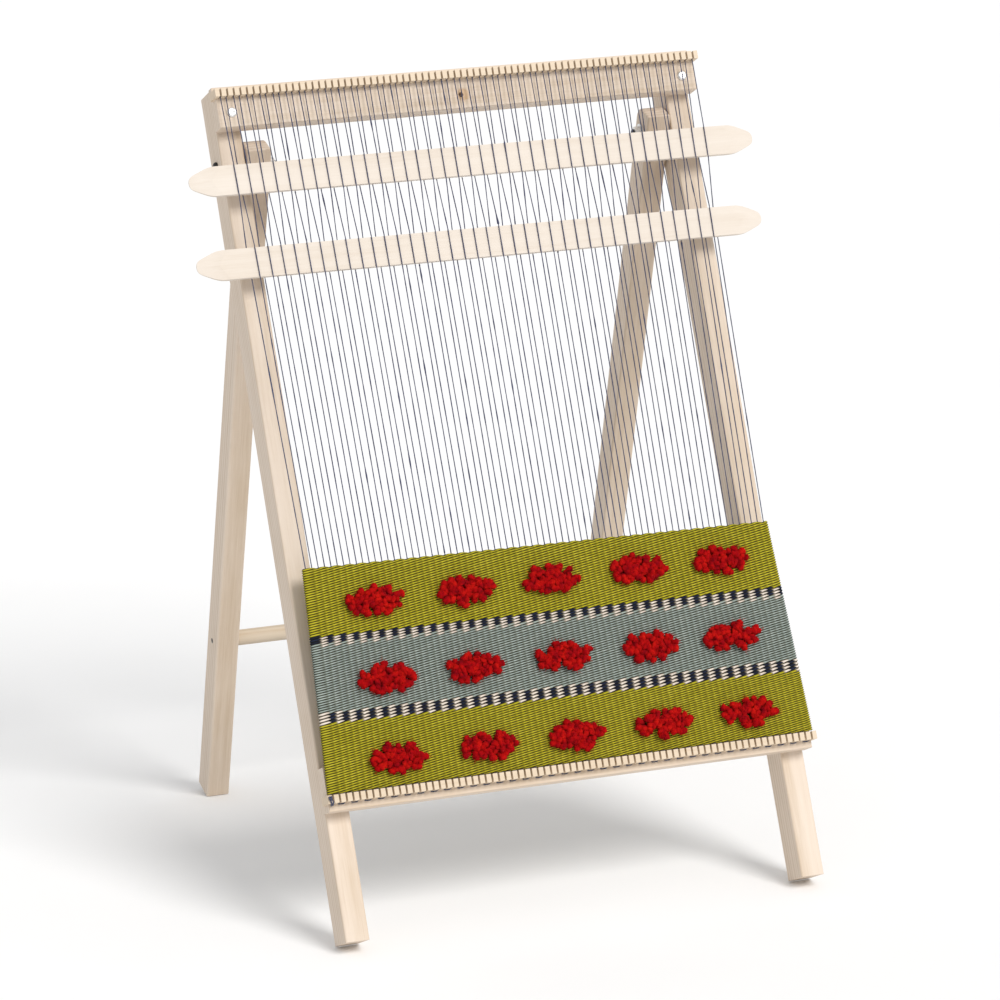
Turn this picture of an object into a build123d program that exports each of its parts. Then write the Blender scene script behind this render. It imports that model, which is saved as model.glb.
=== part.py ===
from build123d import *
from math import asin, atan2, cos, degrees, hypot, radians, sin
import os

os.makedirs("parts", exist_ok=True)

# ---------------------------------------------------------------- driving dimensions (mm, degrees)
# the comb's length sets every width, the stile's length every height
comb_length = 500.0
stile_length = 828.0

# front frame: two stiles leaning back, two bars screwed across their front faces
frame_lean = 24.23                  # stiles from the vertical
bar_length = comb_length - 5.5
frame_width = bar_length - 3.5      # over the outer sides of the stiles
stile_width = 24.0
stile_depth = 36.0
stile_edge_radius = 2.0
bar_height = 42.5
bar_thickness = 20.0
bar_edge_radius = 1.2
bottom_bar_height_above_foot = 121.7
hanging_hole_radius = 2.5

# combs: a slotted strip let into each bar
comb_height = 7.8
comb_projection = 10.0      # teeth in front of the bar
comb_seat = 10.0            # strip let into the bar
comb_inset = 6.0            # from the bar's outer edge to the strip
slot_count = 75
slot_pitch = comb_length / 75.6
slot_width = 2.0
slot_depth = 10.0

# rear legs, hinged inside the stiles
leg_width = 24.0
leg_depth = 30.0
pivot_up_stile = stile_length - 72.0
leg_foot_to_pivot = pivot_up_stile - 32.5
leg_above_pivot = 22.5
leg_top_radius = 12.0
leg_edge_radius = 2.0
washer_thickness = 1.6
washer_clearance = 0.1
rail_diameter = 16.0
rail_up_leg = 182.0
rail_seat = 10.0

# metal fasteners
pivot_radius = 3.0
pivot_running_gap = 0.05
pivot_head_radius = 5.5
pivot_head_height = 3.3
pivot_washer_radius = 8.0
nut_across_flats = 10.0
nut_height = 6.0
screw_shank_radius = 2.0
screw_head_radius = 4.9
screw_head_height = 2.4
screw_length = 45.0
rail_screw_head_radius = 2.8
rail_screw_length = 36.0

# shed sticks: laths threaded through the warp
stick_length = comb_length + 83.0
stick_height = 29.0
stick_thickness = 6.0
stick_tip_length = 27.0
stick_facet_length = 22.0     # ridge of the carved tip, along the stick
stick_facet_spread = 10.0     # how much further back the facets start at the edges
stick_facet_drop = 2.2
upper_stick_height = stile_length - 97.0
upper_stick_shift = 2.7
upper_stick_tilt = -0.27
lower_stick_height = stile_length - 178.8
lower_stick_shift = -2.7
lower_stick_tilt = -0.23

# warp and cloth
thread_radius = 0.6
thread_stick_gap = 0.25
cloth_thickness = 3.0
cloth_bottom_width = comb_length - 2.0
cloth_top_width = comb_length - 24.4
cloth_shift = 0.4
fell_thread_span = comb_length - 30.0
# height of each band edge up the stile at the left and the right selvedge, bottom to top
band_edges = [(137.7, 137.7), (202.9, 196.2), (214.7, 209.1), (277.4, 270.1), (287.0, 281.4), (352.4, 346.7)]

# pile tufts knotted into the cloth
tuft_columns = 5
tuft_pitch = 0.179 * comb_length
tuft_shift = 5.0
tuft_rows = [162.5, 238.6, 313.4]
tuft_half_width = 31.0
tuft_half_height = 17.5
tuft_height = 11.0

# ---------------------------------------------------------------- derived positions
lean = radians(frame_lean)
half_frame = frame_width / 2
stile_centre = half_frame - stile_width / 2
stile_inside = half_frame - stile_width
leg_outside = stile_inside - washer_thickness - washer_clearance
leg_inside = leg_outside - leg_width
leg_centre = (leg_outside + leg_inside) / 2
top_bar_low = stile_length - bar_height
top_bar_centre = stile_length - bar_height / 2
bottom_bar_low = bottom_bar_height_above_foot
bottom_bar_centre = bottom_bar_low + bar_height / 2
comb_front = bar_thickness + comb_projection
comb_back = bar_thickness - comb_seat
top_comb_high = stile_length - comb_inset
top_comb_low = top_comb_high - comb_height
bottom_comb_low = bottom_bar_low + comb_inset + 1.0
bottom_comb_high = bottom_comb_low + comb_height
warp_plane = bar_thickness + comb_projection / 2
screw_up_top_bar = stile_length - 28.0
screw_up_bottom_bar = bottom_bar_centre + 4.0
hole_up_stile = stile_length - 29.0

# the hinge axis sits at mid-depth of the stile; the leg's lean follows from its foot meeting the floor
pivot_depth = stile_depth / 2
pivot_y = pivot_up_stile * sin(lean) - pivot_depth * cos(lean)
pivot_z = pivot_up_stile * cos(lean) + pivot_depth * sin(lean)
leg_reach = hypot(leg_foot_to_pivot, leg_depth / 2)
leg_lean = asin(1.0) - asin(pivot_z / leg_reach) + atan2(leg_depth / 2, leg_foot_to_pivot)
leg_foot_y = pivot_y + leg_foot_to_pivot * sin(leg_lean) - leg_depth / 2 * cos(leg_lean)

# the origin is on the floor under the middle of the whole stand
front_reach = -stile_depth * cos(lean)
rear_reach = leg_foot_y + leg_depth * cos(leg_lean)
shift_y = -(front_reach + rear_reach) / 2

up = Vector(0, sin(lean), cos(lean))                 # up the stiles
out = Vector(0, -cos(lean), sin(lean))               # square out of the stiles' front faces
leg_up = Vector(0, -sin(leg_lean), cos(leg_lean))    # up the rear legs
leg_back = Vector(0, cos(leg_lean), sin(leg_lean))   # square out of the rear legs' back faces
frame_zero = Vector(0, shift_y, 0) + out * stile_depth
leg_zero = Vector(0, shift_y + leg_foot_y, 0)


def frame_point(x, height, front):
    return frame_zero + Vector(x, 0, 0) + up * height + out * front


def frame_plane(front=0.0, x=0.0, height=0.0):
    """Sketch plane parallel to the stiles' front faces: local x is X, local y is up the stiles."""
    return Plane(origin=frame_point(x, height, front), x_dir=(1, 0, 0), z_dir=out)


def frame_side(x):
    """Sketch plane square to X: local x is up the stiles, local y is out of their front."""
    return Plane(origin=frame_point(x, 0, 0), x_dir=up, z_dir=(1, 0, 0))


def leg_side(x):
    """Sketch plane square to X: local x is towards the leg's back, local y is up the leg."""
    return Plane(origin=leg_zero + Vector(x, 0, 0), x_dir=leg_back, z_dir=(1, 0, 0))


def slot_x(index):
    return (index - (slot_count - 1) / 2) * slot_pitch


# ---------------------------------------------------------------- front stiles
with BuildPart() as left_stile:
    with BuildSketch(frame_side(-half_frame)):
        with Locations((stile_length / 2, -stile_depth / 2)):
            Rectangle(stile_length, stile_depth)
    extrude(amount=stile_width)
    fillet(left_stile.edges().filter_by(Axis(frame_zero, up)), stile_edge_radius)
    with Locations(frame_side(-half_frame).location):
        with Locations((pivot_up_stile, -pivot_depth, stile_width / 2)):
            Cylinder(pivot_radius + pivot_running_gap, stile_width + 2, mode=Mode.SUBTRACT)
    with Locations(frame_plane().location):
        with Locations((-stile_centre, screw_up_top_bar, 0), (-stile_centre, screw_up_bottom_bar, 0)):
            Cylinder(screw_shank_radius, 2 * (screw_length - bar_thickness), mode=Mode.SUBTRACT)

with BuildPart() as right_stile:
    add(left_stile.part.mirror(Plane.YZ))

# ---------------------------------------------------------------- top and bottom bars
with BuildPart() as top_bar:
    with BuildSketch(frame_plane()):
        with Locations((0, top_bar_centre)):
            Rectangle(bar_length, bar_height)
    extrude(amount=bar_thickness)
    fillet(top_bar.edges().filter_by(Axis.X), bar_edge_radius)
    with BuildSketch(frame_plane(comb_back)):
        with Locations((0, (top_comb_low + stile_length + 2) / 2)):
            Rectangle(bar_length + 2, stile_length + 2 - top_comb_low)
    extrude(amount=comb_seat + 2, mode=Mode.SUBTRACT)
    with Locations(frame_plane(bar_thickness / 2).location):
        with Locations((0, hole_up_stile, 0)):
            Cylinder(hanging_hole_radius, bar_thickness + 2, mode=Mode.SUBTRACT)
        with Locations((-stile_centre, screw_up_top_bar, 0), (stile_centre, screw_up_top_bar, 0)):
            Cylinder(screw_shank_radius, bar_thickness + 2, mode=Mode.SUBTRACT)

with BuildPart() as bottom_bar:
    with BuildSketch(frame_plane()):
        with Locations((0, bottom_bar_centre)):
            Rectangle(bar_length, bar_height)
    extrude(amount=bar_thickness)
    fillet(bottom_bar.edges().filter_by(Axis.X), bar_edge_radius)
    with BuildSketch(frame_plane(comb_back)):
        with Locations((0, bottom_comb_low + comb_height / 2)):
            Rectangle(bar_length + 2, comb_height)
    extrude(amount=comb_seat + 2, mode=Mode.SUBTRACT)
    with Locations(frame_plane(bar_thickness / 2).location):
        with Locations((-stile_centre, screw_up_bottom_bar, 0), (stile_centre, screw_up_bottom_bar, 0)):
            Cylinder(screw_shank_radius, bar_thickness + 2, mode=Mode.SUBTRACT)

# ---------------------------------------------------------------- combs
slot_places = [(slot_x(index), 0) for index in range(slot_count)]

with BuildPart() as top_comb:
    with BuildSketch(frame_plane(comb_back, height=top_comb_low + comb_height / 2)):
        Rectangle(comb_length, comb_height)
    extrude(amount=comb_seat + comb_projection)
    with BuildSketch(frame_plane(comb_front, height=top_comb_low + comb_height / 2)):
        with Locations(slot_places):
            Rectangle(slot_width, comb_height + 2)
    extrude(amount=-slot_depth, mode=Mode.SUBTRACT)

with BuildPart() as bottom_comb:
    with BuildSketch(frame_plane(comb_back, height=bottom_comb_low + comb_height / 2)):
        Rectangle(comb_length, comb_height)
    extrude(amount=comb_seat + comb_projection)
    with BuildSketch(frame_plane(comb_front, height=bottom_comb_low + comb_height / 2)):
        with Locations(slot_places):
            Rectangle(slot_width, comb_height + 2)
    extrude(amount=-slot_depth, mode=Mode.SUBTRACT)

# ---------------------------------------------------------------- rear legs and their rail
leg_length = leg_foot_to_pivot + leg_above_pivot

with BuildPart() as left_rear_leg:
    with BuildSketch(leg_side(-leg_outside)):
        with Locations((leg_depth / 2, leg_length / 2)):
            Rectangle(leg_depth, leg_length)
    extrude(amount=leg_width)
    fillet(left_rear_leg.edges().filter_by(Axis.X).group_by(Axis.Z)[-1].sort_by(Axis.Y)[0], leg_top_radius)
    fillet(left_rear_leg.edges().filter_by(Axis(leg_zero, leg_up)), leg_edge_radius)
    with Locations(leg_side(-leg_outside).location):
        with Locations((leg_depth / 2, leg_foot_to_pivot, leg_width / 2)):
            Cylinder(pivot_radius + pivot_running_gap, leg_width + 2, mode=Mode.SUBTRACT)
        with Locations((leg_depth / 2, rail_up_leg, leg_width - rail_seat / 2 + 1)):
            Cylinder(rail_diameter / 2, rail_seat + 2, mode=Mode.SUBTRACT)
        with Locations((leg_depth / 2, rail_up_leg, leg_width / 2)):
            Cylinder(screw_shank_radius, leg_width + 2, mode=Mode.SUBTRACT)
        with Locations((leg_depth / 2, rail_up_leg, 0.6)):
            Cylinder(rail_screw_head_radius, 1.2, mode=Mode.SUBTRACT)

with BuildPart() as right_rear_leg:
    add(left_rear_leg.part.mirror(Plane.YZ))

rail_length = 2 * (leg_inside + rail_seat)
rail_side = leg_side(0)

with BuildPart() as rear_rail:
    with Locations(rail_side.location):
        with Locations((leg_depth / 2, rail_up_leg, 0)):
            Cylinder(rail_diameter / 2, rail_length)
    chamfer(rear_rail.edges().filter_by(GeomType.CIRCLE), 0.6)
    with Locations(rail_side.location):
        with Locations((leg_depth / 2, rail_up_leg, leg_outside - rail_screw_length / 2)):
            Cylinder(screw_shank_radius, rail_screw_length, mode=Mode.SUBTRACT)
        with Locations((leg_depth / 2, rail_up_leg, rail_screw_length / 2 - leg_outside)):
            Cylinder(screw_shank_radius, rail_screw_length, mode=Mode.SUBTRACT)

# ---------------------------------------------------------------- screws
with BuildPart() as bar_screw:
    Cylinder(screw_head_radius, screw_head_height, align=(Align.CENTER, Align.CENTER, Align.MIN))
    fillet(bar_screw.edges().group_by(Axis.Z)[-1], screw_head_height - 0.4)
    Cylinder(screw_shank_radius, screw_length, align=(Align.CENTER, Align.CENTER, Align.MAX))
    with BuildSketch(Plane.XY.offset(screw_head_height)):
        Rectangle(5.0, 1.1)
        Rectangle(1.1, 5.0)
    extrude(amount=-1.3, mode=Mode.SUBTRACT)

with BuildPart() as rail_screw:
    Cylinder(rail_screw_head_radius, 1.2, align=(Align.CENTER, Align.CENTER, Align.MAX))
    Cylinder(screw_shank_radius, rail_screw_length, align=(Align.CENTER, Align.CENTER, Align.MAX))
    with BuildSketch(Plane.XY):
        Rectangle(3.2, 0.8)
        Rectangle(0.8, 3.2)
    extrude(amount=-0.8, mode=Mode.SUBTRACT)


def bar_screw_places(height):
    face = frame_plane(bar_thickness)
    return [face.location * Location((side * stile_centre, height, 0)) for side in (-1, 1)]


def rail_screw_places():
    left = Plane(origin=leg_side(-leg_outside).from_local_coords((leg_depth / 2, rail_up_leg, 0)),
                 x_dir=leg_back, z_dir=(-1, 0, 0))
    right = Plane(origin=leg_side(leg_outside).from_local_coords((leg_depth / 2, rail_up_leg, 0)),
                  x_dir=leg_back, z_dir=(1, 0, 0))
    return [left.location, right.location]


with BuildPart() as top_bar_screws:
    with Locations(*bar_screw_places(screw_up_top_bar)):
        add(bar_screw.part)

with BuildPart() as bottom_bar_screws:
    with Locations(*bar_screw_places(screw_up_bottom_bar)):
        add(bar_screw.part)

with BuildPart() as rail_screws:
    with Locations(*rail_screw_places()):
        add(rail_screw.part)

# ---------------------------------------------------------------- pivot bolts, washers and nuts
pivot_point = frame_point(0, pivot_up_stile, -pivot_depth)
bolt_end = leg_inside - washer_clearance - washer_thickness - nut_height - 2.0
bolt_span = half_frame - bolt_end


def pivot_places(x):
    """One location per side, local z pointing away from the middle of the loom."""
    left = Plane(origin=pivot_point + Vector(-x, 0, 0), x_dir=out, z_dir=(-1, 0, 0))
    right = Plane(origin=pivot_point + Vector(x, 0, 0), x_dir=out, z_dir=(1, 0, 0))
    return [left.location, right.location]


with BuildPart() as one_bolt:
    Cylinder(pivot_head_radius, pivot_head_height, align=(Align.CENTER, Align.CENTER, Align.MIN))
    fillet(one_bolt.edges().group_by(Axis.Z)[-1], pivot_head_height - 0.6)
    Cylinder(pivot_radius, bolt_span, align=(Align.CENTER, Align.CENTER, Align.MAX))
    with BuildSketch(Plane.XY.offset(pivot_head_height)):
        RegularPolygon(2.3, 6)
    extrude(amount=-2.2, mode=Mode.SUBTRACT)
    chamfer(one_bolt.edges().group_by(Axis.Z)[0], 0.6)

with BuildPart() as one_nut:
    with BuildSketch():
        RegularPolygon(nut_across_flats / 2, 6, major_radius=False)
        Circle(pivot_radius, mode=Mode.SUBTRACT)
    extrude(amount=nut_height)

with BuildPart() as one_washer:
    with BuildSketch():
        Circle(pivot_washer_radius)
        Circle(pivot_radius, mode=Mode.SUBTRACT)
    extrude(amount=washer_thickness)

with BuildPart() as pivot_bolts:
    with Locations(*pivot_places(half_frame)):
        add(one_bolt.part)

with BuildPart() as spacer_washers:
    with Locations(*pivot_places(stile_inside - washer_thickness)):
        add(one_washer.part)

nut_washer_face = leg_inside - washer_clearance - washer_thickness
with BuildPart() as nut_washers:
    with Locations(*pivot_places(nut_washer_face)):
        add(one_washer.part)

with BuildPart() as pivot_nuts:
    with Locations(*pivot_places(nut_washer_face - nut_height)):
        add(one_nut.part)

# ---------------------------------------------------------------- shed sticks
half_stick = stick_length / 2
stick_shoulder = half_stick - stick_tip_length


def stick_plane(shift, height, tilt, front):
    along = Vector(cos(radians(tilt)), 0, 0) + up * sin(radians(tilt))
    return Plane(origin=frame_point(shift, height, front), x_dir=along, z_dir=out)


def stick_outline():
    """Corner points of the pointed lath, and the spline hints used for its two ogive ends."""
    tip = (half_stick, 0)
    top = (stick_shoulder, stick_height / 2)
    return tip, top


def facet_planes():
    """Planes of the eight carved facets: two ends, two faces, above and below the middle ridge."""
    planes = []
    for end in (1, -1):
        for face in (1, -1):
            for half in (1, -1):
                ridge = Vector(end * (half_stick - stick_facet_length), 0, face * stick_thickness / 2)
                edge = Vector(-end * stick_facet_spread, half * stick_height / 2, 0)
                point = Vector(end * stick_facet_length, 0, -face * stick_facet_drop)
                normal = edge.cross(point)
                if normal.Z * face < 0:
                    normal = normal * -1
                planes.append(Plane(origin=ridge, x_dir=point, z_dir=normal))
    return planes


tip, top = stick_outline()

with BuildPart() as flat_stick:
    with BuildSketch(Plane.XY.offset(-stick_thickness / 2)):
        with BuildLine():
            Line((-top[0], top[1]), (top[0], top[1]))
            Spline((top[0], top[1]), (half_stick - 8, top[1] * 0.62), (half_stick, 0),
                   tangents=((1, 0), (0, -1)))
            Spline((half_stick, 0), (half_stick - 8, -top[1] * 0.62), (top[0], -top[1]),
                   tangents=((0, -1), (-1, 0)))
            Line((top[0], -top[1]), (-top[0], -top[1]))
            Spline((-top[0], -top[1]), (8 - half_stick, -top[1] * 0.62), (-half_stick, 0),
                   tangents=((-1, 0), (0, 1)))
            Spline((-half_stick, 0), (8 - half_stick, top[1] * 0.62), (-top[0], top[1]),
                   tangents=((0, 1), (1, 0)))
        make_face()
    extrude(amount=stick_thickness)
    with Locations(*[plane.location for plane in facet_planes()]):
        Box(120, 120, 10, align=(Align.CENTER, Align.CENTER, Align.MIN), mode=Mode.SUBTRACT)

with BuildPart() as upper_shed_stick:
    with Locations(stick_plane(upper_stick_shift, upper_stick_height, upper_stick_tilt, warp_plane).location):
        add(flat_stick.part)

with BuildPart() as lower_shed_stick:
    with Locations(stick_plane(lower_stick_shift, lower_stick_height, lower_stick_tilt, warp_plane).location):
        add(flat_stick.part)

# ---------------------------------------------------------------- warp: one thread wound round the teeth
thread_offset = stick_thickness / 2 + thread_stick_gap + thread_radius
edge_relief = 1.5
slot_play = slot_width / 2 - thread_radius - 0.05
over_top = top_comb_high + thread_radius + 0.02
under_bottom = bottom_comb_low - thread_radius - 0.02
comb_relief = 0.6
fell_relief = 0.8
loop_plane = bar_thickness + thread_radius + 0.05     # the loops lie at the roots of the teeth


def edge_height(pair, x):
    """Height of a cloth edge at x, between its left and right selvedge heights."""
    share = (x + cloth_top_width / 2) / cloth_top_width
    return pair[0] + (pair[1] - pair[0]) * share


def run_up(index):
    """Points of one warp run from the bottom comb to the top comb."""
    even = index % 2 == 0
    top_x = slot_x(index) + (slot_play if even else -slot_play)
    bottom_x = slot_x(index) + (-slot_play if even else slot_play)
    fell_x = (index / (slot_count - 1) - 0.5) * fell_thread_span + cloth_shift
    fell = edge_height(band_edges[-1], fell_x)
    side = 1 if even else -1
    points = [
        (bottom_x, under_bottom, loop_plane),
        (bottom_x, bottom_comb_high + comb_relief, warp_plane),
        (fell_x, fell + fell_relief, warp_plane),
    ]
    sticks = [
        (lower_stick_height, lower_stick_shift, lower_stick_tilt, -side),
        (upper_stick_height, upper_stick_shift, upper_stick_tilt, side),
    ]
    for height, shift, tilt, direction in sticks:
        for half in (-1, 1):
            level = height + half * (stick_height / 2 + edge_relief)
            share = (level - fell) / (over_top - fell)
            x = fell_x + (top_x - fell_x) * share
            level = level + (x - shift) * sin(radians(tilt))
            points.append((x, level, warp_plane + direction * thread_offset))
    below_comb = points[-1]
    share = (over_top - top_comb_low + comb_relief) / (over_top - below_comb[1])
    points.append((top_x, top_comb_low - comb_relief, warp_plane + side * thread_offset * share))
    points.append((top_x, over_top, loop_plane))
    return points


def pair_route(pair):
    """Up one slot, over a tooth of the top comb, down the next slot, to the middle of a lower tooth."""
    first = run_up(2 * pair)
    route = []
    if pair > 0:
        before = run_up(2 * pair - 1)[0]
        route.append(((before[0] + first[0][0]) / 2, under_bottom, loop_plane))
    route += first
    if 2 * pair + 1 < slot_count:
        second = run_up(2 * pair + 1)
        route += list(reversed(second))
        after = run_up(2 * pair + 2)[0]
        route.append(((second[0][0] + after[0]) / 2, under_bottom, loop_plane))
    else:
        route.append((first[-1][0] + 2.4, over_top, loop_plane))
    return route


pair_count = slot_count // 2 + 1

with BuildPart() as warp:
    for pair in range(pair_count):
        route = [frame_point(*point) for point in pair_route(pair)]
        start = Plane(origin=route[0], z_dir=route[1] - route[0])
        with BuildLine() as path:
            Polyline(*route)
        with BuildSketch(start) as section:
            Circle(thread_radius)
        sweep(sections=section.sketch, path=path.wires()[0], transition=Transition.RIGHT)

# knot of thread ends tied round the first lower tooth
knot_x = slot_x(0) - slot_play
knot_radius = 0.8
knot_bead_radius = 2.0

with BuildPart() as warp_knot:
    knot_route = [
        (knot_x, under_bottom - knot_radius - 0.3, loop_plane + 1.0),
        (knot_x - 1.2, under_bottom - knot_radius - 0.4, warp_plane + 3.5),
        (knot_x - 2.2, bottom_comb_low - 0.9, comb_front + 1.0),
        (knot_x - 2.6, bottom_comb_low + 2.5, comb_front + 1.0),
        (knot_x - 2.9, bottom_comb_high - 3.5, comb_front + 1.1),
    ]
    knot_points = [frame_point(*point) for point in knot_route]
    with BuildLine() as knot_line:
        Spline(*knot_points)
    with BuildSketch(Plane(origin=knot_line.line @ 0, z_dir=knot_line.line % 0)):
        Circle(knot_radius)
    sweep()
    with Locations(frame_plane().location):
        with Locations((knot_x - 2.9, bottom_comb_high - 3.0, comb_front + knot_bead_radius + 0.05)):
            Sphere(knot_bead_radius)

# ---------------------------------------------------------------- woven bands, each threaded on the warp
cloth_back = warp_plane - cloth_thickness / 2


def selvedge(height, side):
    """x of the cloth's edge at a height up the stiles."""
    low = band_edges[0][0]
    high = (band_edges[-1][0] + band_edges[-1][1]) / 2
    share = (height - low) / (high - low)
    half = (cloth_bottom_width + (cloth_top_width - cloth_bottom_width) * share) / 2
    return side * half + cloth_shift


def band_outline(low, high):
    return [
        (selvedge(low[0], -1), low[0]),
        (selvedge(low[1], 1), low[1]),
        (selvedge(high[1], 1), high[1]),
        (selvedge(high[0], -1), high[0]),
    ]


bands = {}
band_names = ["lower_green_band", "lower_striped_band", "grey_band", "upper_striped_band", "upper_green_band"]
for number, name in enumerate(band_names):
    with BuildPart() as band:
        with BuildSketch(frame_plane(cloth_back)):
            with BuildLine():
                Polyline(*band_outline(band_edges[number], band_edges[number + 1]), close=True)
            make_face()
        extrude(amount=cloth_thickness)
        add(warp.part, mode=Mode.SUBTRACT)
    band.part.label = name
    bands[name] = band.part

# ---------------------------------------------------------------- pile tufts
cloth_front = cloth_back + cloth_thickness
tuft_names = ["lower_tufts", "middle_tufts", "upper_tufts"]
tufts = {}
for number, name in enumerate(tuft_names):
    with BuildPart() as tuft_row:
        with BuildSketch(frame_plane(cloth_front, x=tuft_shift, height=tuft_rows[number])):
            with GridLocations(tuft_pitch, 1, tuft_columns, 1):
                Ellipse(tuft_half_width, tuft_half_height)
        extrude(amount=tuft_height, taper=22)
        fillet(tuft_row.faces().sort_by(Axis(frame_zero, out))[-tuft_columns:].edges(), 3.0)
    tuft_row.part.label = name
    tufts[name] = tuft_row.part

# ---------------------------------------------------------------- export
left_stile.part.label = "left_stile"
right_stile.part.label = "right_stile"
top_bar.part.label = "top_bar"
bottom_bar.part.label = "bottom_bar"
top_comb.part.label = "top_comb"
bottom_comb.part.label = "bottom_comb"
left_rear_leg.part.label = "left_rear_leg"
right_rear_leg.part.label = "right_rear_leg"
rear_rail.part.label = "rear_rail"
top_bar_screws.part.label = "top_bar_screws"
bottom_bar_screws.part.label = "bottom_bar_screws"
rail_screws.part.label = "rail_screws"
pivot_bolts.part.label = "pivot_bolts"
spacer_washers.part.label = "spacer_washers"
nut_washers.part.label = "nut_washers"
pivot_nuts.part.label = "pivot_nuts"
upper_shed_stick.part.label = "upper_shed_stick"
lower_shed_stick.part.label = "lower_shed_stick"
warp.part.label = "warp"
warp_knot.part.label = "warp_knot"

export_step(left_stile.part, "parts/left_stile.step")
export_step(right_stile.part, "parts/right_stile.step")
export_step(top_bar.part, "parts/top_bar.step")
export_step(bottom_bar.part, "parts/bottom_bar.step")
export_step(top_comb.part, "parts/top_comb.step")
export_step(bottom_comb.part, "parts/bottom_comb.step")
export_step(left_rear_leg.part, "parts/left_rear_leg.step")
export_step(right_rear_leg.part, "parts/right_rear_leg.step")
export_step(rear_rail.part, "parts/rear_rail.step")
export_step(top_bar_screws.part, "parts/top_bar_screws.step")
export_step(bottom_bar_screws.part, "parts/bottom_bar_screws.step")
export_step(rail_screws.part, "parts/rail_screws.step")
export_step(pivot_bolts.part, "parts/pivot_bolts.step")
export_step(spacer_washers.part, "parts/spacer_washers.step")
export_step(nut_washers.part, "parts/nut_washers.step")
export_step(pivot_nuts.part, "parts/pivot_nuts.step")
export_step(upper_shed_stick.part, "parts/upper_shed_stick.step")
export_step(lower_shed_stick.part, "parts/lower_shed_stick.step")
export_step(warp.part, "parts/warp.step")
export_step(warp_knot.part, "parts/warp_knot.step")
for name in band_names:
    export_step(bands[name], "parts/" + name + ".step")
for name in tuft_names:
    export_step(tufts[name], "parts/" + name + ".step")

print("pivot", tuple(round(value, 4) for value in frame_point(0, pivot_up_stile, -pivot_depth)))
print("leg lean", round(degrees(leg_lean), 3), "foot y", round(leg_foot_y + shift_y, 3), "shift", round(shift_y, 3))
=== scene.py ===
import math

import bpy
import numpy as np
from mathutils import Matrix, Vector


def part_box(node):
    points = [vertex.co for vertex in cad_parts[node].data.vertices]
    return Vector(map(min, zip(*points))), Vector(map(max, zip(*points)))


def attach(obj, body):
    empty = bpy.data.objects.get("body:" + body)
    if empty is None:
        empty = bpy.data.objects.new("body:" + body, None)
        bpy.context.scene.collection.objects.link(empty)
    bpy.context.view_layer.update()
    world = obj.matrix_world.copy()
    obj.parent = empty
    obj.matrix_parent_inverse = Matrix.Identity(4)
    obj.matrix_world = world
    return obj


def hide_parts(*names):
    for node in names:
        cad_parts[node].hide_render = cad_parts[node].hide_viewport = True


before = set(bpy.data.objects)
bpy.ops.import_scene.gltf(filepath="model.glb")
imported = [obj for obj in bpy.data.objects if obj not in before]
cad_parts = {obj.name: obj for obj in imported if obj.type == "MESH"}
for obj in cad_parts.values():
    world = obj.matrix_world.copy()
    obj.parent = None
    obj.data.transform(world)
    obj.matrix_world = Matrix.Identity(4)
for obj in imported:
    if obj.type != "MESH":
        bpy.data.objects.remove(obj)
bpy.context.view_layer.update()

rng = np.random.default_rng(7)

# ---------------------------------------------------------------- the front frame's own coordinates
# x along the bars, v up the stiles from their feet, w square out of the stiles' front faces, in mm
LEAN = math.radians(24.23)
LEG_LEAN = math.radians(16.85)
UP = np.array((0, math.sin(LEAN), math.cos(LEAN)))
OUT = np.array((0, -math.cos(LEAN), math.sin(LEAN)))
stile_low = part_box("left_stile")[0]
ZERO = np.array((0, stile_low[1], 0.036 * math.sin(LEAN)))

SLOTS = 75
PITCH = 500 / 75.6
WARP_W = 25.0
THREAD = 0.6


def at(x, v, w):
    """Points of the front frame, from arrays or numbers in mm to metres in the row frame."""
    x, v, w = np.broadcast_arrays(np.asarray(x, float), np.asarray(v, float), np.asarray(w, float))
    return ZERO + (x[..., None] * np.array((1.0, 0, 0)) + v[..., None] * UP + w[..., None] * OUT) / 1000


# ---------------------------------------------------------------- node helpers
def material(name):
    mat = bpy.data.materials.new(name)
    mat.use_nodes = True
    return mat, mat.node_tree.nodes, mat.node_tree.links, mat.node_tree.nodes["Principled BSDF"]


def link_value(links, socket, value):
    """Links another node's output to the socket, or sets a plain number on it."""
    if isinstance(value, (int, float)):
        socket.default_value = value
    else:
        links.new(value, socket)


def math_node(nodes, links, operation, a, b=0.0):
    node = nodes.new("ShaderNodeMath")
    node.operation = operation
    link_value(links, node.inputs[0], a)
    link_value(links, node.inputs[1], b)
    return node.outputs[0]


def noise(nodes, links, vector, scale, detail=3.0, rough=0.55):
    node = nodes.new("ShaderNodeTexNoise")
    node.inputs["Scale"].default_value = scale
    node.inputs["Detail"].default_value = detail
    node.inputs["Roughness"].default_value = rough
    links.new(vector, node.inputs["Vector"])
    return node.outputs["Fac"]


def ramp(nodes, links, fac, *stops):
    node = nodes.new("ShaderNodeValToRGB")
    node.color_ramp.elements[0].position, node.color_ramp.elements[0].color = stops[0][0], (*stops[0][1], 1)
    node.color_ramp.elements[1].position, node.color_ramp.elements[1].color = stops[-1][0], (*stops[-1][1], 1)
    for position, colour in stops[1:-1]:
        node.color_ramp.elements.new(position).color = (*colour, 1)
    links.new(fac, node.inputs[0])
    return node.outputs[0]


def mix(nodes, links, kind, fac, a, b):
    """Colour mix; a and b are sockets or plain colours."""
    node = nodes.new("ShaderNodeMix")
    node.data_type = "RGBA"
    node.blend_type = kind
    link_value(links, node.inputs[0], fac)
    for socket, value in ((node.inputs[6], a), (node.inputs[7], b)):
        if isinstance(value, tuple):
            socket.default_value = (*value, 1)
        else:
            links.new(value, socket)
    return node.outputs[2]


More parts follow.
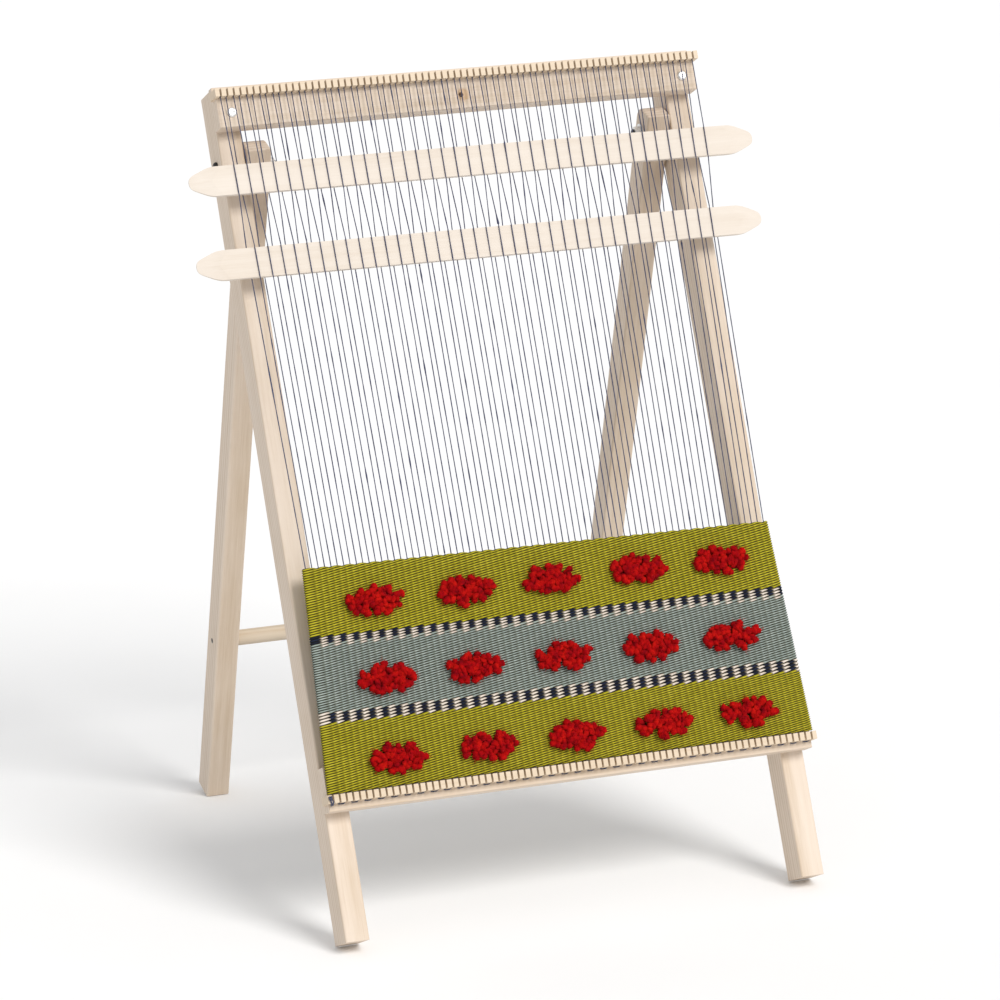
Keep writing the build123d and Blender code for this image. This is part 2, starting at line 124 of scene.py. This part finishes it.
def bump(nodes, links, shader, height, strength, distance):
    node = nodes.new("ShaderNodeBump")
    node.inputs["Strength"].default_value = strength
    node.inputs["Distance"].default_value = distance
    links.new(height, node.inputs["Height"])
    links.new(node.outputs[0], shader.inputs["Normal"])
    return node


def wood(name, turn, along, light, dark, rings=1.0, knot=None):
    """Planed wood: fibres and growth rings drawn out along one axis after a turn about X."""
    mat, nodes, links, shader = material(name)
    coord = nodes.new("ShaderNodeTexCoord").outputs["Object"]
    turned = nodes.new("ShaderNodeMapping")
    turned.inputs["Rotation"].default_value = (turn, 0, 0)
    links.new(coord, turned.inputs["Vector"])
    stretch = nodes.new("ShaderNodeMapping")
    stretch.inputs["Scale"].default_value = [0.035 if axis == along else 1.0 for axis in "XYZ"]
    links.new(turned.outputs[0], stretch.inputs["Vector"])
    grain = stretch.outputs[0]
    fibre = noise(nodes, links, grain, 900, 4, 0.65)
    streak = noise(nodes, links, grain, 190, 2, 0.5)
    tone = noise(nodes, links, turned.outputs[0], 14, 2, 0.5)
    wave = nodes.new("ShaderNodeTexWave")
    wave.bands_direction = "Y"
    wave.inputs["Scale"].default_value = 62
    wave.inputs["Distortion"].default_value = 5.0
    wave.inputs["Detail"].default_value = 2.0
    wave.inputs["Detail Scale"].default_value = 0.6
    links.new(grain, wave.inputs["Vector"])
    ring = math_node(nodes, links, "MULTIPLY", wave.outputs["Fac"], 0.30 * rings)
    total = math_node(nodes, links, "ADD", math_node(nodes, links, "MULTIPLY", fibre, 0.45), ring)
    total = math_node(nodes, links, "ADD", total, math_node(nodes, links, "MULTIPLY", streak, 0.35))
    total = math_node(nodes, links, "ADD", total, math_node(nodes, links, "MULTIPLY", tone, 0.25))
    middle = tuple((a * 2 + b) / 3 for a, b in zip(light, dark))
    colour = ramp(nodes, links, total, (0.38, light), (0.66, middle), (0.95, dark))
    if knot is not None:
        offset = nodes.new("ShaderNodeVectorMath")
        offset.operation = "DISTANCE"
        links.new(coord, offset.inputs[0])
        offset.inputs[1].default_value = knot
        wobble = math_node(nodes, links, "MULTIPLY", noise(nodes, links, coord, 260, 2), 0.003)
        reach = math_node(nodes, links, "SUBTRACT", offset.outputs["Value"], wobble)
        spot = nodes.new("ShaderNodeMapRange")
        spot.inputs["From Min"].default_value = 0.0060
        spot.inputs["From Max"].default_value = 0.0035
        links.new(reach, spot.inputs["Value"])
        colour = mix(nodes, links, "MULTIPLY", spot.outputs[0], colour, (0.86, 0.72, 0.56))
    links.new(colour, shader.inputs["Base Color"])
    rough = nodes.new("ShaderNodeMapRange")
    rough.inputs["To Min"].default_value = 0.48
    rough.inputs["To Max"].default_value = 0.68
    links.new(fibre, rough.inputs["Value"])
    links.new(rough.outputs[0], shader.inputs["Roughness"])
    shader.inputs["Specular IOR Level"].default_value = 0.3
    bump(nodes, links, shader, fibre, 0.22, 0.0003)
    return mat


def metal(name, light, dark, rough, metallic=1.0):
    mat, nodes, links, shader = material(name)
    coord = nodes.new("ShaderNodeTexCoord").outputs["Object"]
    stain = noise(nodes, links, coord, 520, 3)
    links.new(ramp(nodes, links, stain, (0.3, dark), (0.62, light)), shader.inputs["Base Color"])
    fine = nodes.new("ShaderNodeMapRange")
    fine.inputs["To Min"].default_value = rough - 0.1
    fine.inputs["To Max"].default_value = rough + 0.12
    links.new(stain, fine.inputs["Value"])
    links.new(fine.outputs[0], shader.inputs["Roughness"])
    shader.inputs["Metallic"].default_value = metallic
    bump(nodes, links, shader, noise(nodes, links, coord, 2400, 2), 0.1, 0.0001)
    return mat


# ---------------------------------------------------------------- CAD nodes that stay, with their materials
LIGHT_WOOD = (0.74, 0.635, 0.535)
DARK_WOOD = (0.58, 0.46, 0.34)
stile_wood = wood("stile_wood", LEAN, "Z", LIGHT_WOOD, DARK_WOOD)
leg_wood = wood("leg_wood", -LEG_LEAN, "Z", LIGHT_WOOD, DARK_WOOD)
hole = tuple(at(2.2, 799, 20))
bar_wood = wood("bar_wood", LEAN, "X", LIGHT_WOOD, DARK_WOOD, knot=hole)
rail_wood = wood("rail_wood", -LEG_LEAN, "X", (0.67, 0.57, 0.45), (0.53, 0.41, 0.28))
comb_wood = wood("comb_wood", LEAN, "X", (0.72, 0.60, 0.46), (0.55, 0.42, 0.28), rings=0.5)
stick_wood = wood("stick_wood", LEAN, "X", (0.72, 0.65, 0.575), (0.60, 0.51, 0.415), rings=0.6)
screw_metal = metal("screw_metal", (0.90, 0.90, 0.89), (0.62, 0.61, 0.60), 0.38, 0.6)
dark_metal = metal("dark_metal", (0.045, 0.042, 0.04), (0.018, 0.017, 0.017), 0.42, 0.6)

for node, mat in {
    "left_stile": stile_wood,
    "right_stile": stile_wood,
    "top_bar": bar_wood,
    "bottom_bar": bar_wood,
    "top_comb": comb_wood,
    "bottom_comb": comb_wood,
    "left_rear_leg": leg_wood,
    "right_rear_leg": leg_wood,
    "rear_rail": rail_wood,
    "upper_shed_stick": stick_wood,
    "lower_shed_stick": stick_wood,
    "top_bar_screws": screw_metal,
    "bottom_bar_screws": screw_metal,
    "rail_screws": dark_metal,
    "pivot_bolts": dark_metal,
    "spacer_washers": screw_metal,
    "nut_washers": screw_metal,
    "pivot_nuts": screw_metal,
}.items():
    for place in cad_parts[node].material_slots:
        place.material = mat


# ---------------------------------------------------------------- mesh helpers
def make_mesh(name, verts, faces, mat, uv=None, smooth=True):
    """A mesh object; uv gives one pair per vertex."""
    mesh = bpy.data.meshes.new(name)
    mesh.from_pydata([tuple(p) for p in verts], [], faces)
    mesh.materials.append(mat)
    if smooth:
        mesh.shade_smooth()
    if uv is not None:
        layer = mesh.uv_layers.new(name="yarn")
        index = np.empty(len(mesh.loops), dtype=np.int32)
        mesh.loops.foreach_get("vertex_index", index)
        layer.data.foreach_set("uv", np.asarray(uv, dtype=np.float32)[index].ravel())
    mesh.update()
    obj = bpy.data.objects.new(name, mesh)
    bpy.context.scene.collection.objects.link(obj)
    return obj


class Build:
    """Collects many tubes into one mesh."""

    def __init__(self):
        self.verts, self.faces, self.uv = [], [], []

    def tube(self, points, radii, sides):
        """A closed tube through points, all in metres; the UV map holds its angle and its run in mm."""
        points = np.asarray(points, float)
        count = len(points)
        ahead = np.gradient(points, axis=0)
        ahead /= np.linalg.norm(ahead, axis=1)[:, None]
        side = np.cross(ahead[0], (0.31, 0.77, 0.55))
        side /= np.linalg.norm(side)
        run = np.concatenate(([0], np.cumsum(np.linalg.norm(np.diff(points, axis=0), axis=1)))) * 1000
        first = len(self.verts)
        for i in range(count):
            side = side - ahead[i] * np.dot(side, ahead[i])
            side /= np.linalg.norm(side)
            other = np.cross(ahead[i], side)
            for j in range(sides):
                angle = 2 * math.pi * j / sides
                self.verts.append(points[i] + radii[i] * (math.cos(angle) * side + math.sin(angle) * other))
                self.uv.append((j / sides, run[i]))
        for i in range(count - 1):
            a, b = first + i * sides, first + (i + 1) * sides
            for j in range(sides):
                k = (j + 1) % sides
                self.faces.append((a + j, a + k, b + k, b + j))
        self.faces.append(tuple(first + j for j in reversed(range(sides))))
        self.faces.append(tuple(first + (count - 1) * sides + j for j in range(sides)))

    def make(self, name, mat):
        return make_mesh(name, self.verts, self.faces, mat, self.uv)


# ---------------------------------------------------------------- warp threads
def thread_material(name, light, dark):
    mat, nodes, links, shader = material(name)
    uv = nodes.new("ShaderNodeUVMap")
    uv.uv_map = "yarn"
    split = nodes.new("ShaderNodeSeparateXYZ")
    links.new(uv.outputs[0], split.inputs[0])
    coil = math_node(nodes, links, "MULTIPLY_ADD", split.outputs[1], 0.7)
    coil.node.inputs[2].default_value = 0.0
    links.new(math_node(nodes, links, "MULTIPLY", split.outputs[0], 2.0), coil.node.inputs[2])
    twist = math_node(nodes, links, "SINE", math_node(nodes, links, "MULTIPLY", coil, 2 * math.pi))
    coord = nodes.new("ShaderNodeTexCoord").outputs["Object"]
    fluff = noise(nodes, links, coord, 900, 3)
    tone = noise(nodes, links, coord, 60, 2)
    fac = math_node(nodes, links, "MULTIPLY", twist, 0.22)
    fac = math_node(nodes, links, "ADD", fac, fluff)
    fac = math_node(nodes, links, "ADD", fac, math_node(nodes, links, "MULTIPLY", tone, 0.5))
    links.new(ramp(nodes, links, fac, (0.45, dark), (1.0, light)), shader.inputs["Base Color"])
    shader.inputs["Roughness"].default_value = 0.85
    shader.inputs["Sheen Weight"].default_value = 0.25
    bump(nodes, links, shader, fac, 0.5, 0.0002)
    return mat


navy_thread = thread_material("navy_thread", (0.065, 0.073, 0.15), (0.014, 0.017, 0.046))

CLOTH_LOW = (137.7, 137.7)      # heights at the left and right selvedge
CLOTH_HIGH = (352.4, 346.7)
STICKS = ((649.2, -2.7, -0.23, -1), (731.0, 2.7, -0.27, 1))
OVER_TOP = 822.62
UNDER_BOTTOM = 128.08
COMB_RELIEF = 137.1             # where a thread leaves the lower comb
THREAD_SPAN = 470.0             # first to last thread at the fell
CLOTH_SHIFT = 0.4
CLOTH_WIDTHS = (498, 476)       # at its lower and upper edge
LOOP_W = 20.65


def slot_x(k):
    return (k - (SLOTS - 1) / 2) * PITCH


def fell_x(k):
    return (k / (SLOTS - 1) - 0.5) * THREAD_SPAN + CLOTH_SHIFT


def run_up(k):
    """Corners of one warp run from the lower comb to the upper comb, in mm."""
    even = k % 2 == 0
    side = 1 if even else -1
    top, low, mid = slot_x(k) + 0.35 * side, slot_x(k) - 0.35 * side, fell_x(k)
    fell = CLOTH_HIGH[0] + (CLOTH_HIGH[1] - CLOTH_HIGH[0]) * (mid + 237.8) / 475.6
    points = [(low, UNDER_BOTTOM, LOOP_W), (low, COMB_RELIEF, WARP_W), (mid, fell + 0.8, WARP_W)]
    for height, shift, tilt, front in STICKS:
        for half in (-1, 1):
            level = height + half * 16.0
            x = mid + (top - mid) * (level - fell) / (OVER_TOP - fell)
            level += (x - shift) * math.sin(math.radians(tilt))
            points.append((x, level, WARP_W + front * side * 3.85))
    points.append((top, 813.6, WARP_W + side * 0.45))
    points.append((top, OVER_TOP, LOOP_W))
    return points


def rounded(corners, step=9.0, ease=0.9):
    """The corner list with each corner eased and the long runs divided."""
    corners = [np.array(p, float) for p in corners]
    out = [corners[0]]
    for i in range(1, len(corners)):
        last = i == len(corners) - 1
        start, end = out[-1], corners[i]
        length = np.linalg.norm(end - start)
        near = end if last else end - (end - start) / length * min(ease, length / 3)
        parts = max(1, int(np.linalg.norm(near - start) / step))
        out += [start + (near - start) * j / parts for j in range(1, parts + 1)]
        if not last:
            after = corners[i + 1] - end
            size = np.linalg.norm(after)
            beyond = end + after / size * min(ease, size / 3)
            out.append((near + 2 * end + beyond) / 4)
            out.append(beyond)
    return np.array(out)


threads = Build()
for pair in range(SLOTS // 2 + 1):
    up_run = run_up(2 * pair)
    corners = list(up_run)
    if pair > 0:
        before = run_up(2 * pair - 1)[0]
        corners.insert(0, ((before[0] + up_run[0][0]) / 2, UNDER_BOTTOM, LOOP_W))
    if 2 * pair + 1 < SLOTS:
        down_run = run_up(2 * pair + 1)
        after = run_up(2 * pair + 2)[0]
        corners += list(reversed(down_run))
        corners.append(((down_run[0][0] + after[0]) / 2, UNDER_BOTTOM, LOOP_W))
    else:
        corners.append((up_run[-1][0] + 2.4, OVER_TOP, LOOP_W))
    line = rounded(corners)
    count = len(line)
    radii = THREAD * (0.86 + 0.09 * rng.standard_normal(count).clip(-1.5, 1.5))
    for spot in rng.integers(3, count - 3, size=max(1, count // 42)):
        radii[spot] *= rng.uniform(1.25, 1.6)
    threads.tube(at(line[:, 0], line[:, 1], line[:, 2]), radii / 1000, 6)
warp = threads.make("warp_threads", navy_thread)
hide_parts("warp")
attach(warp, "front_frame")

# the thread's first end, tied round the first lower tooth
knot = Build()
kx = slot_x(0) - 0.35
wrap = [(kx, 127.2, 21.8), (kx - 0.6, 127.0, 26.0), (kx - 1.4, 127.0, 29.6), (kx - 2.2, 128.4, 31.2),
        (kx - 2.6, 130.4, 31.4), (kx - 2.9, 132.4, 31.9)]
knot.tube(at(*np.array(wrap).T), [0.0007] * len(wrap), 8)
trefoil = []
for i in range(49):
    a = 2 * math.pi * i / 48
    trefoil.append((kx - 2.9 + 0.85 * (math.sin(a) + 2 * math.sin(2 * a)) * 0.62,
                    133.4 + 0.85 * (math.cos(a) - 2 * math.cos(2 * a)) * 0.75,
                    32.2 - 0.85 * math.sin(3 * a)))
knot.tube(at(*np.array(trefoil).T), [0.0007] * len(trefoil), 8)
tail = [(kx - 2.4, 133.2, 32.4), (kx - 1.2, 130.8, 32.9), (kx - 0.9, 128.4, 32.4), (kx - 1.6, 126.6, 31.6)]
knot.tube(at(*np.array(tail).T), [0.0006, 0.0006, 0.00062, 0.0007], 8)
knot = knot.make("warp_end_knot", navy_thread)
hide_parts("warp_knot")
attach(knot, "front_frame")

# ---------------------------------------------------------------- woven cloth
# one visible float per thread and pick; neighbouring threads lie half a pick apart, and each float slants
BANDS = (
    ("lower_green_band", "green_weft", 0, 28, CLOTH_LOW, (202.9, 196.2)),
    ("lower_striped_band", "striped_weft", 28, 32, (202.9, 196.2), (214.7, 209.1)),
    ("grey_band", "grey_weft", 32, 59, (214.7, 209.1), (277.4, 270.1)),
    ("upper_striped_band", "striped_weft", 59, 63, (277.4, 270.1), (287.0, 281.4)),
    ("upper_green_band", "green_weft", 63, 91, (287.0, 281.4), CLOTH_HIGH),
)
ACROSS = 6
ALONG = 4


def weave_material():
    mat, nodes, links, shader = material("weave")

    def m(operation, a, b=0.0):
        return math_node(nodes, links, operation, a, b)

    uv = nodes.new("ShaderNodeUVMap")
    uv.uv_map = "yarn"
    split = nodes.new("ShaderNodeSeparateXYZ")
    links.new(uv.outputs[0], split.inputs[0])
    u, v = split.outputs[0], split.outputs[1]
    column = m("FLOOR", u)
    across = m("SUBTRACT", u, column)
    odd = m("MODULO", column, 2.0)
    slant = m("SUBTRACT", v, m("MULTIPLY", m("SUBTRACT", across, 0.5), 0.5))
    level = m("ADD", slant, m("MULTIPLY", odd, 0.5))
    pick = m("FLOOR", level)
    phase = m("SUBTRACT", level, pick)

    def between(low, high):
        return m("MULTIPLY", m("GREATER_THAN", pick, m("SUBTRACT", low, 0.5)), m("LESS_THAN", pick, high - 0.5))

    even = m("SUBTRACT", 1.0, odd)
    lower_stripe = between(m("ADD", odd, 28.0), 32.0)
    upper_stripe = between(m("ADD", even, 59.0), 63.0)
    striped = m("MAXIMUM", lower_stripe, upper_stripe)
    dark_column = m("ADD", m("MULTIPLY", lower_stripe, odd), m("MULTIPLY", upper_stripe, even))
    grey_high = m("LESS_THAN", pick, m("SUBTRACT", m("ADD", even, 59.0), 0.5))
    grey = m("MULTIPLY", m("GREATER_THAN", pick, 31.5), grey_high)

    cell = nodes.new("ShaderNodeCombineXYZ")
    links.new(column, cell.inputs[0])
    links.new(pick, cell.inputs[1])
    white = nodes.new("ShaderNodeTexWhiteNoise")
    white.noise_dimensions = "3D"
    links.new(cell.outputs[0], white.inputs["Vector"])
    chance = white.outputs["Value"]

    fibre_at = nodes.new("ShaderNodeCombineXYZ")
    links.new(m("MULTIPLY", u, 1.6), fibre_at.inputs[0])
    links.new(m("SUBTRACT", m("MULTIPLY", level, 5.0), m("MULTIPLY", u, 0.8)), fibre_at.inputs[1])
    fibre = noise(nodes, links, fibre_at.outputs[0], 1.0, 3, 0.6)

    green = ramp(nodes, links, chance, (0.0, (0.48, 0.43, 0.010)), (0.55, (0.54, 0.485, 0.016)),
                 (1.0, (0.60, 0.54, 0.028)))
    steel = ramp(nodes, links, chance, (0.0, (0.34, 0.41, 0.385)), (0.6, (0.385, 0.455, 0.43)),
                 (1.0, (0.43, 0.50, 0.47)))
    cream = ramp(nodes, links, chance, (0.0, (0.86, 0.76, 0.68)), (1.0, (0.96, 0.87, 0.79)))
    navy = ramp(nodes, links, chance, (0.0, (0.003, 0.007, 0.024)), (1.0, (0.008, 0.016, 0.05)))
    colour = mix(nodes, links, "MIX", grey, green, steel)
    colour = mix(nodes, links, "MIX", striped, colour, mix(nodes, links, "MIX", dark_column, cream, navy))
    grain = ramp(nodes, links, fibre, (0.3, (0.62, 0.60, 0.56)), (0.72, (1.0, 1.0, 1.0)))
    colour = mix(nodes, links, "MULTIPLY", 1.0, colour, grain)
    # painted shade: the weft colour is darkened in the grooves between the floats and towards each float's
    # ends, where shade falls; the same lift also drives the bump below
    crest = m("POWER", m("SINE", m("MULTIPLY", phase, math.pi)), 1.15)
    end = m("POWER", m("SINE", m("MULTIPLY", across, math.pi)), 0.7)
    lift = m("MULTIPLY", crest, m("ADD", m("MULTIPLY", end, 0.42), 0.58))
    groove_painted_shade = ramp(nodes, links, lift, (0.18, (0.05, 0.045, 0.03)), (0.5, (0.42, 0.40, 0.34)),
                  (0.86, (1.0, 1.0, 1.0)))
    colour = mix(nodes, links, "MULTIPLY", 1.0, colour, groove_painted_shade)
    links.new(colour, shader.inputs["Base Color"])
    shader.inputs["Roughness"].default_value = 0.82
    shader.inputs["Specular IOR Level"].default_value = 0.25
    shader.inputs["Sheen Weight"].default_value = 0.04
    height = m("ADD", m("MULTIPLY", lift, 1.0), m("MULTIPLY", fibre, 0.45))
    bump(nodes, links, shader, height, 0.55, 0.0006)
    return mat


weave = weave_material()


def lift_of(u, v, flip):
    """Height of the weft floats, 0 in the grooves and 1 on the crests."""
    column = np.minimum(np.floor(u + 1e-6), SLOTS - 1)
    across = np.clip(u - column, 0, 1)
    odd = np.mod(column + flip, 2)
    level = v - 0.5 * (across - 0.5) * (1 - 2 * flip) + 0.5 * odd
    phase = level - np.floor(level)
    crest = np.sin(np.pi * phase) ** 0.75
    end = np.sin(np.pi * across) ** 0.6
    return crest * (0.45 + 0.55 * end)


def cloth_band(name, slot, low_pick, high_pick, low_edge, high_edge):
    wide, tall = SLOTS * ACROSS + 1, (high_pick - low_pick) * ALONG + 1
    u = np.arange(wide) / ACROSS
    v = low_pick + np.arange(tall) / ALONG
    U, V = np.meshgrid(u, v)
    border = np.round(U)
    left_odd = np.mod(border - 1, 2)
    inside = (border > 0.5) & (border < SLOTS - 0.5)
    near = np.clip(1 - 2 * np.abs(U - border), 0, 1) * inside
    shift = -0.3 * np.cos(2 * np.pi * (V - 0.25 + 0.5 * left_odd)) * near
    share = (V - low_pick) / (high_pick - low_pick)
    left = low_edge[0] + (high_edge[0] - low_edge[0]) * share
    right = low_edge[1] + (high_edge[1] - low_edge[1]) * share
    height = left + (right - left) * U / SLOTS
    place = U + shift + 0.45 * np.clip(np.minimum(U, SLOTS - U), 0, 1)
    bottom_x = (place - SLOTS / 2) * PITCH
    fell = fell_x(place - 0.5)
    rise = (height - CLOTH_LOW[0]) / 212.3
    x = bottom_x + (fell - bottom_x) * rise
    edge = np.minimum(U, SLOTS - U)
    turn = np.sin(np.pi * np.mod(V + np.where(U < 1, 0.25, 0.0), 1.0)) ** 2
    x += np.where(edge < 0.6, np.sign(U - 1) * (0.6 - edge) * 1.9 * turn, 0.0)
    if high_pick == 91:
        last = np.clip(V - 89.5, 0, 1.5) / 1.5
        bumps = np.abs(np.sin(np.pi * U * 0.5 + 0.4)) ** 0.8
        height = height + last * (1.1 * bumps - 0.9)
    round_edge = np.sqrt(np.clip(1 - (1 - np.clip(edge * 3.6, 0, 1)) ** 2, 0, 1))
    front = (0.62 + 1.05 * lift_of(U, V, 0)) * round_edge
    back = (0.62 + 1.05 * lift_of(U, V, 1)) * round_edge
    if high_pick == 91:
        cap = np.sqrt(np.clip((91 - V) / 0.9, 0, 1)) * 0.75 + 0.25
        front, back = front * np.where(V > 90.1, cap, 1), back * np.where(V > 90.1, cap, 1)
    if low_pick == 0:
        cap = np.sqrt(np.clip(V / 0.9, 0, 1)) * 0.75 + 0.25
        front, back = front * np.where(V < 0.9, cap, 1), back * np.where(V < 0.9, cap, 1)
    upper = at(x, height, WARP_W + front).reshape(-1, 3)
    lower = at(x[:, 1:-1], height[:, 1:-1], WARP_W - back[:, 1:-1]).reshape(-1, 3)
    verts = np.concatenate((upper, lower))
    uv = np.concatenate((np.stack((U, V), -1).reshape(-1, 2), np.stack((U, V), -1)[:, 1:-1].reshape(-1, 2)))
    top_index = np.arange(wide * tall).reshape(tall, wide)
    under = np.empty_like(top_index)
    under[:, 0], under[:, -1] = top_index[:, 0], top_index[:, -1]
    under[:, 1:-1] = wide * tall + np.arange((wide - 2) * tall).reshape(tall, wide - 2)

    def quads(a):
        return np.stack((a[:-1, :-1], a[:-1, 1:], a[1:, 1:], a[1:, :-1]), -1).reshape(-1, 4)

    faces = np.concatenate((quads(top_index), quads(under)[:, ::-1])).tolist()
    for row, order in ((0, 1), (-1, -1)):
        a, b = top_index[row], under[row]
        for i in range(wide - 1):
            ring = [a[i], b[i], b[i + 1], a[i + 1]][::order]
            clean = list(dict.fromkeys(int(k) for k in ring))
            if len(clean) > 2:
                faces.append(clean)
    obj = make_mesh("cloth_" + name, verts, faces, weave, uv)
    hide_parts(name)
    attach(obj, "front_frame")
    size = (sum(CLOTH_WIDTHS) / 2000, (high_edge[0] + high_edge[1] - low_edge[0] - low_edge[1]) / 2000)
    return obj, size


for band in BANDS:
    cloth_band(*band)


# ---------------------------------------------------------------- pile tufts
def pile_material():
    mat, nodes, links, shader = material("red_pile")
    coord = nodes.new("ShaderNodeTexCoord").outputs["Object"]
    clump = noise(nodes, links, coord, 130, 2)
    fuzz = noise(nodes, links, coord, 1500, 4, 0.7)
    fac = math_node(nodes, links, "ADD", math_node(nodes, links, "MULTIPLY", clump, 0.7),
                    math_node(nodes, links, "MULTIPLY", fuzz, 0.45))
    links.new(ramp(nodes, links, fac, (0.34, (0.12, 0.001, 0.008)), (0.58, (0.40, 0.002, 0.004)),
                   (0.84, (0.68, 0.014, 0.006))), shader.inputs["Base Color"])
    shader.inputs["Roughness"].default_value = 0.9
    shader.inputs["Specular IOR Level"].default_value = 0.05
    shader.inputs["Sheen Weight"].default_value = 0.05
    shader.inputs["Sheen Roughness"].default_value = 0.6
    shader.inputs["Sheen Tint"].default_value = (1.0, 0.16, 0.06, 1)
    bump(nodes, links, shader, fuzz, 0.8, 0.0012)
    return mat


red_pile = pile_material()
TUFTS = (
    ("lower_tufts", 162.6, (-175.0, -84.0, 5.0, 95.5, 185.0), "lower_green_band"),
    ("middle_tufts", 238.7, (-173.0, -85.5, 5.0, 95.0, 179.5), "grey_band"),
    ("upper_tufts", 313.6, (-173.5, -82.0, 5.5, 95.0, 182.0), "upper_green_band"),
)


def tuft(build, cx, cv):
    """A filled burst of thick cut ends fanning out of a row of knots."""
    ends = 58
    for i in range(ends):
        far = math.sqrt((i + 0.5) / ends)
        turn = i * 2.39996 + rng.uniform(-0.35, 0.35)
        place, lean_v = far * math.cos(turn), far * math.sin(turn)
        base = np.array((cx + place * 22.0, cv + lean_v * 7.0, 27.4))
        tip = np.array((cx + place * 31.0 + rng.uniform(-1.6, 1.6),
                        cv + lean_v * 16.4 + rng.uniform(-1.4, 1.4),
                        28.6 + (7.0 - 5.2 * far ** 2) * rng.uniform(0.85, 1.05)))
        middle = (base + tip) / 2 + np.array((rng.uniform(-1.2, 1.2), rng.uniform(-1, 1), 1.6))
        t = np.linspace(0, 1, 9)[:, None]
        line = base * (1 - t) ** 2 + 2 * middle * t * (1 - t) + tip * t ** 2
        thick = rng.uniform(3.0, 4.0)
        t = t[:, 0]
        radii = thick * (0.62 + 0.5 * t) * np.sqrt(np.clip(1 - np.clip((t - 0.72) / 0.3, 0, 1) ** 2, 0.04, 1))
        radii *= 1 + 0.1 * rng.standard_normal(len(t)).clip(-1.5, 1.5)
        first = len(build.verts)
        build.tube(at(*line.T), radii / 1000, 9)
        made = np.array(build.verts[first:])
        made += rng.standard_normal(made.shape) * 0.00032
        build.verts[first:] = list(made)
        ahead = (line[-1] - line[-3])
        ahead /= np.linalg.norm(ahead)
        for _ in range(14):
            root = line[rng.integers(4, 9)]
            away = ahead * rng.uniform(0.2, 1.0) + rng.standard_normal(3) * 0.75
            away /= np.linalg.norm(away)
            if root[2] + away[2] * 4.5 < 27.3:
                away[2] = abs(away[2])
            length = thick * 0.75 + rng.uniform(0.8, 2.2)
            bent = root + away * length * 0.6 + rng.standard_normal(3) * 0.3
            hair = np.array((root + away * thick * 0.4, bent,
                             root + away * length + rng.standard_normal(3) * 0.5))
            build.tube(at(*hair.T), (0.00018, 0.00014, 0.00006), 3)


for node, row_v, centres, band in TUFTS:
    build = Build()
    for centre in centres:
        tuft(build, centre, row_v + rng.uniform(-0.6, 0.6))
    piece = build.make("pile_" + node, red_pile)
    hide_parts(node)
    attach(piece, "front_frame")

# ---------------------------------------------------------------- floor, light and camera
floor_mat, nodes, links, shader = material("floor")
paper = noise(nodes, links, nodes.new("ShaderNodeTexCoord").outputs["Object"], 3.0, 2)
links.new(ramp(nodes, links, paper, (0.3, (0.93, 0.93, 0.93)), (0.7, (0.95, 0.95, 0.95))),
          shader.inputs["Base Color"])
shader.inputs["Roughness"].default_value = 0.9
FLOOR_LEVEL = -0.0006
floor = make_mesh("floor", [(x, y, FLOOR_LEVEL) for x, y in ((-9, -7), (9, -7), (9, 12), (-9, 12))],
                  [(0, 1, 2, 3)], floor_mat, smooth=False)

world = bpy.data.worlds.new("studio")
bpy.context.scene.world = world
world.use_nodes = True
soft = world.node_tree.nodes["Background"]
soft.inputs[0].default_value = (0.985, 0.99, 1.0, 1)
soft.inputs[1].default_value = 0.66


key_data = bpy.data.lights.new("key", "SUN")
key_data.energy = 2.15
key_data.angle = math.radians(24)
key_data.color = (1.0, 0.985, 0.965)
key = bpy.data.objects.new("key", key_data)
key.rotation_mode = "QUATERNION"
key.rotation_quaternion = Vector((-0.36, 0.95, -0.9)).to_track_quat("-Z", "Y")
bpy.context.scene.collection.objects.link(key)

camera_data = bpy.data.cameras.new("camera")
camera = bpy.data.objects.new("camera", camera_data)
bpy.context.scene.collection.objects.link(camera)
bpy.context.scene.camera = camera
camera_data.sensor_width = 36.0
camera_data.lens = 170.52
camera_data.clip_start, camera_data.clip_end = 0.1, 40.0
azimuth, elevation, roll = math.radians(20.41), math.radians(14.42), math.radians(-1.128)
forward = Vector((math.sin(azimuth) * math.cos(elevation), math.cos(azimuth) * math.cos(elevation),
                  -math.sin(elevation)))
level_right = forward.cross(Vector((0, 0, 1))).normalized()
level_up = level_right.cross(forward)
right = level_right * math.cos(roll) + level_up * math.sin(roll)
above = right.cross(forward)
camera.rotation_mode = "QUATERNION"
camera.rotation_quaternion = Matrix((right, above, -forward)).transposed().to_quaternion()
camera.location = (-1.56446, -4.257194, 1.51767)

bpy.context.scene.view_settings.view_transform = "Standard"
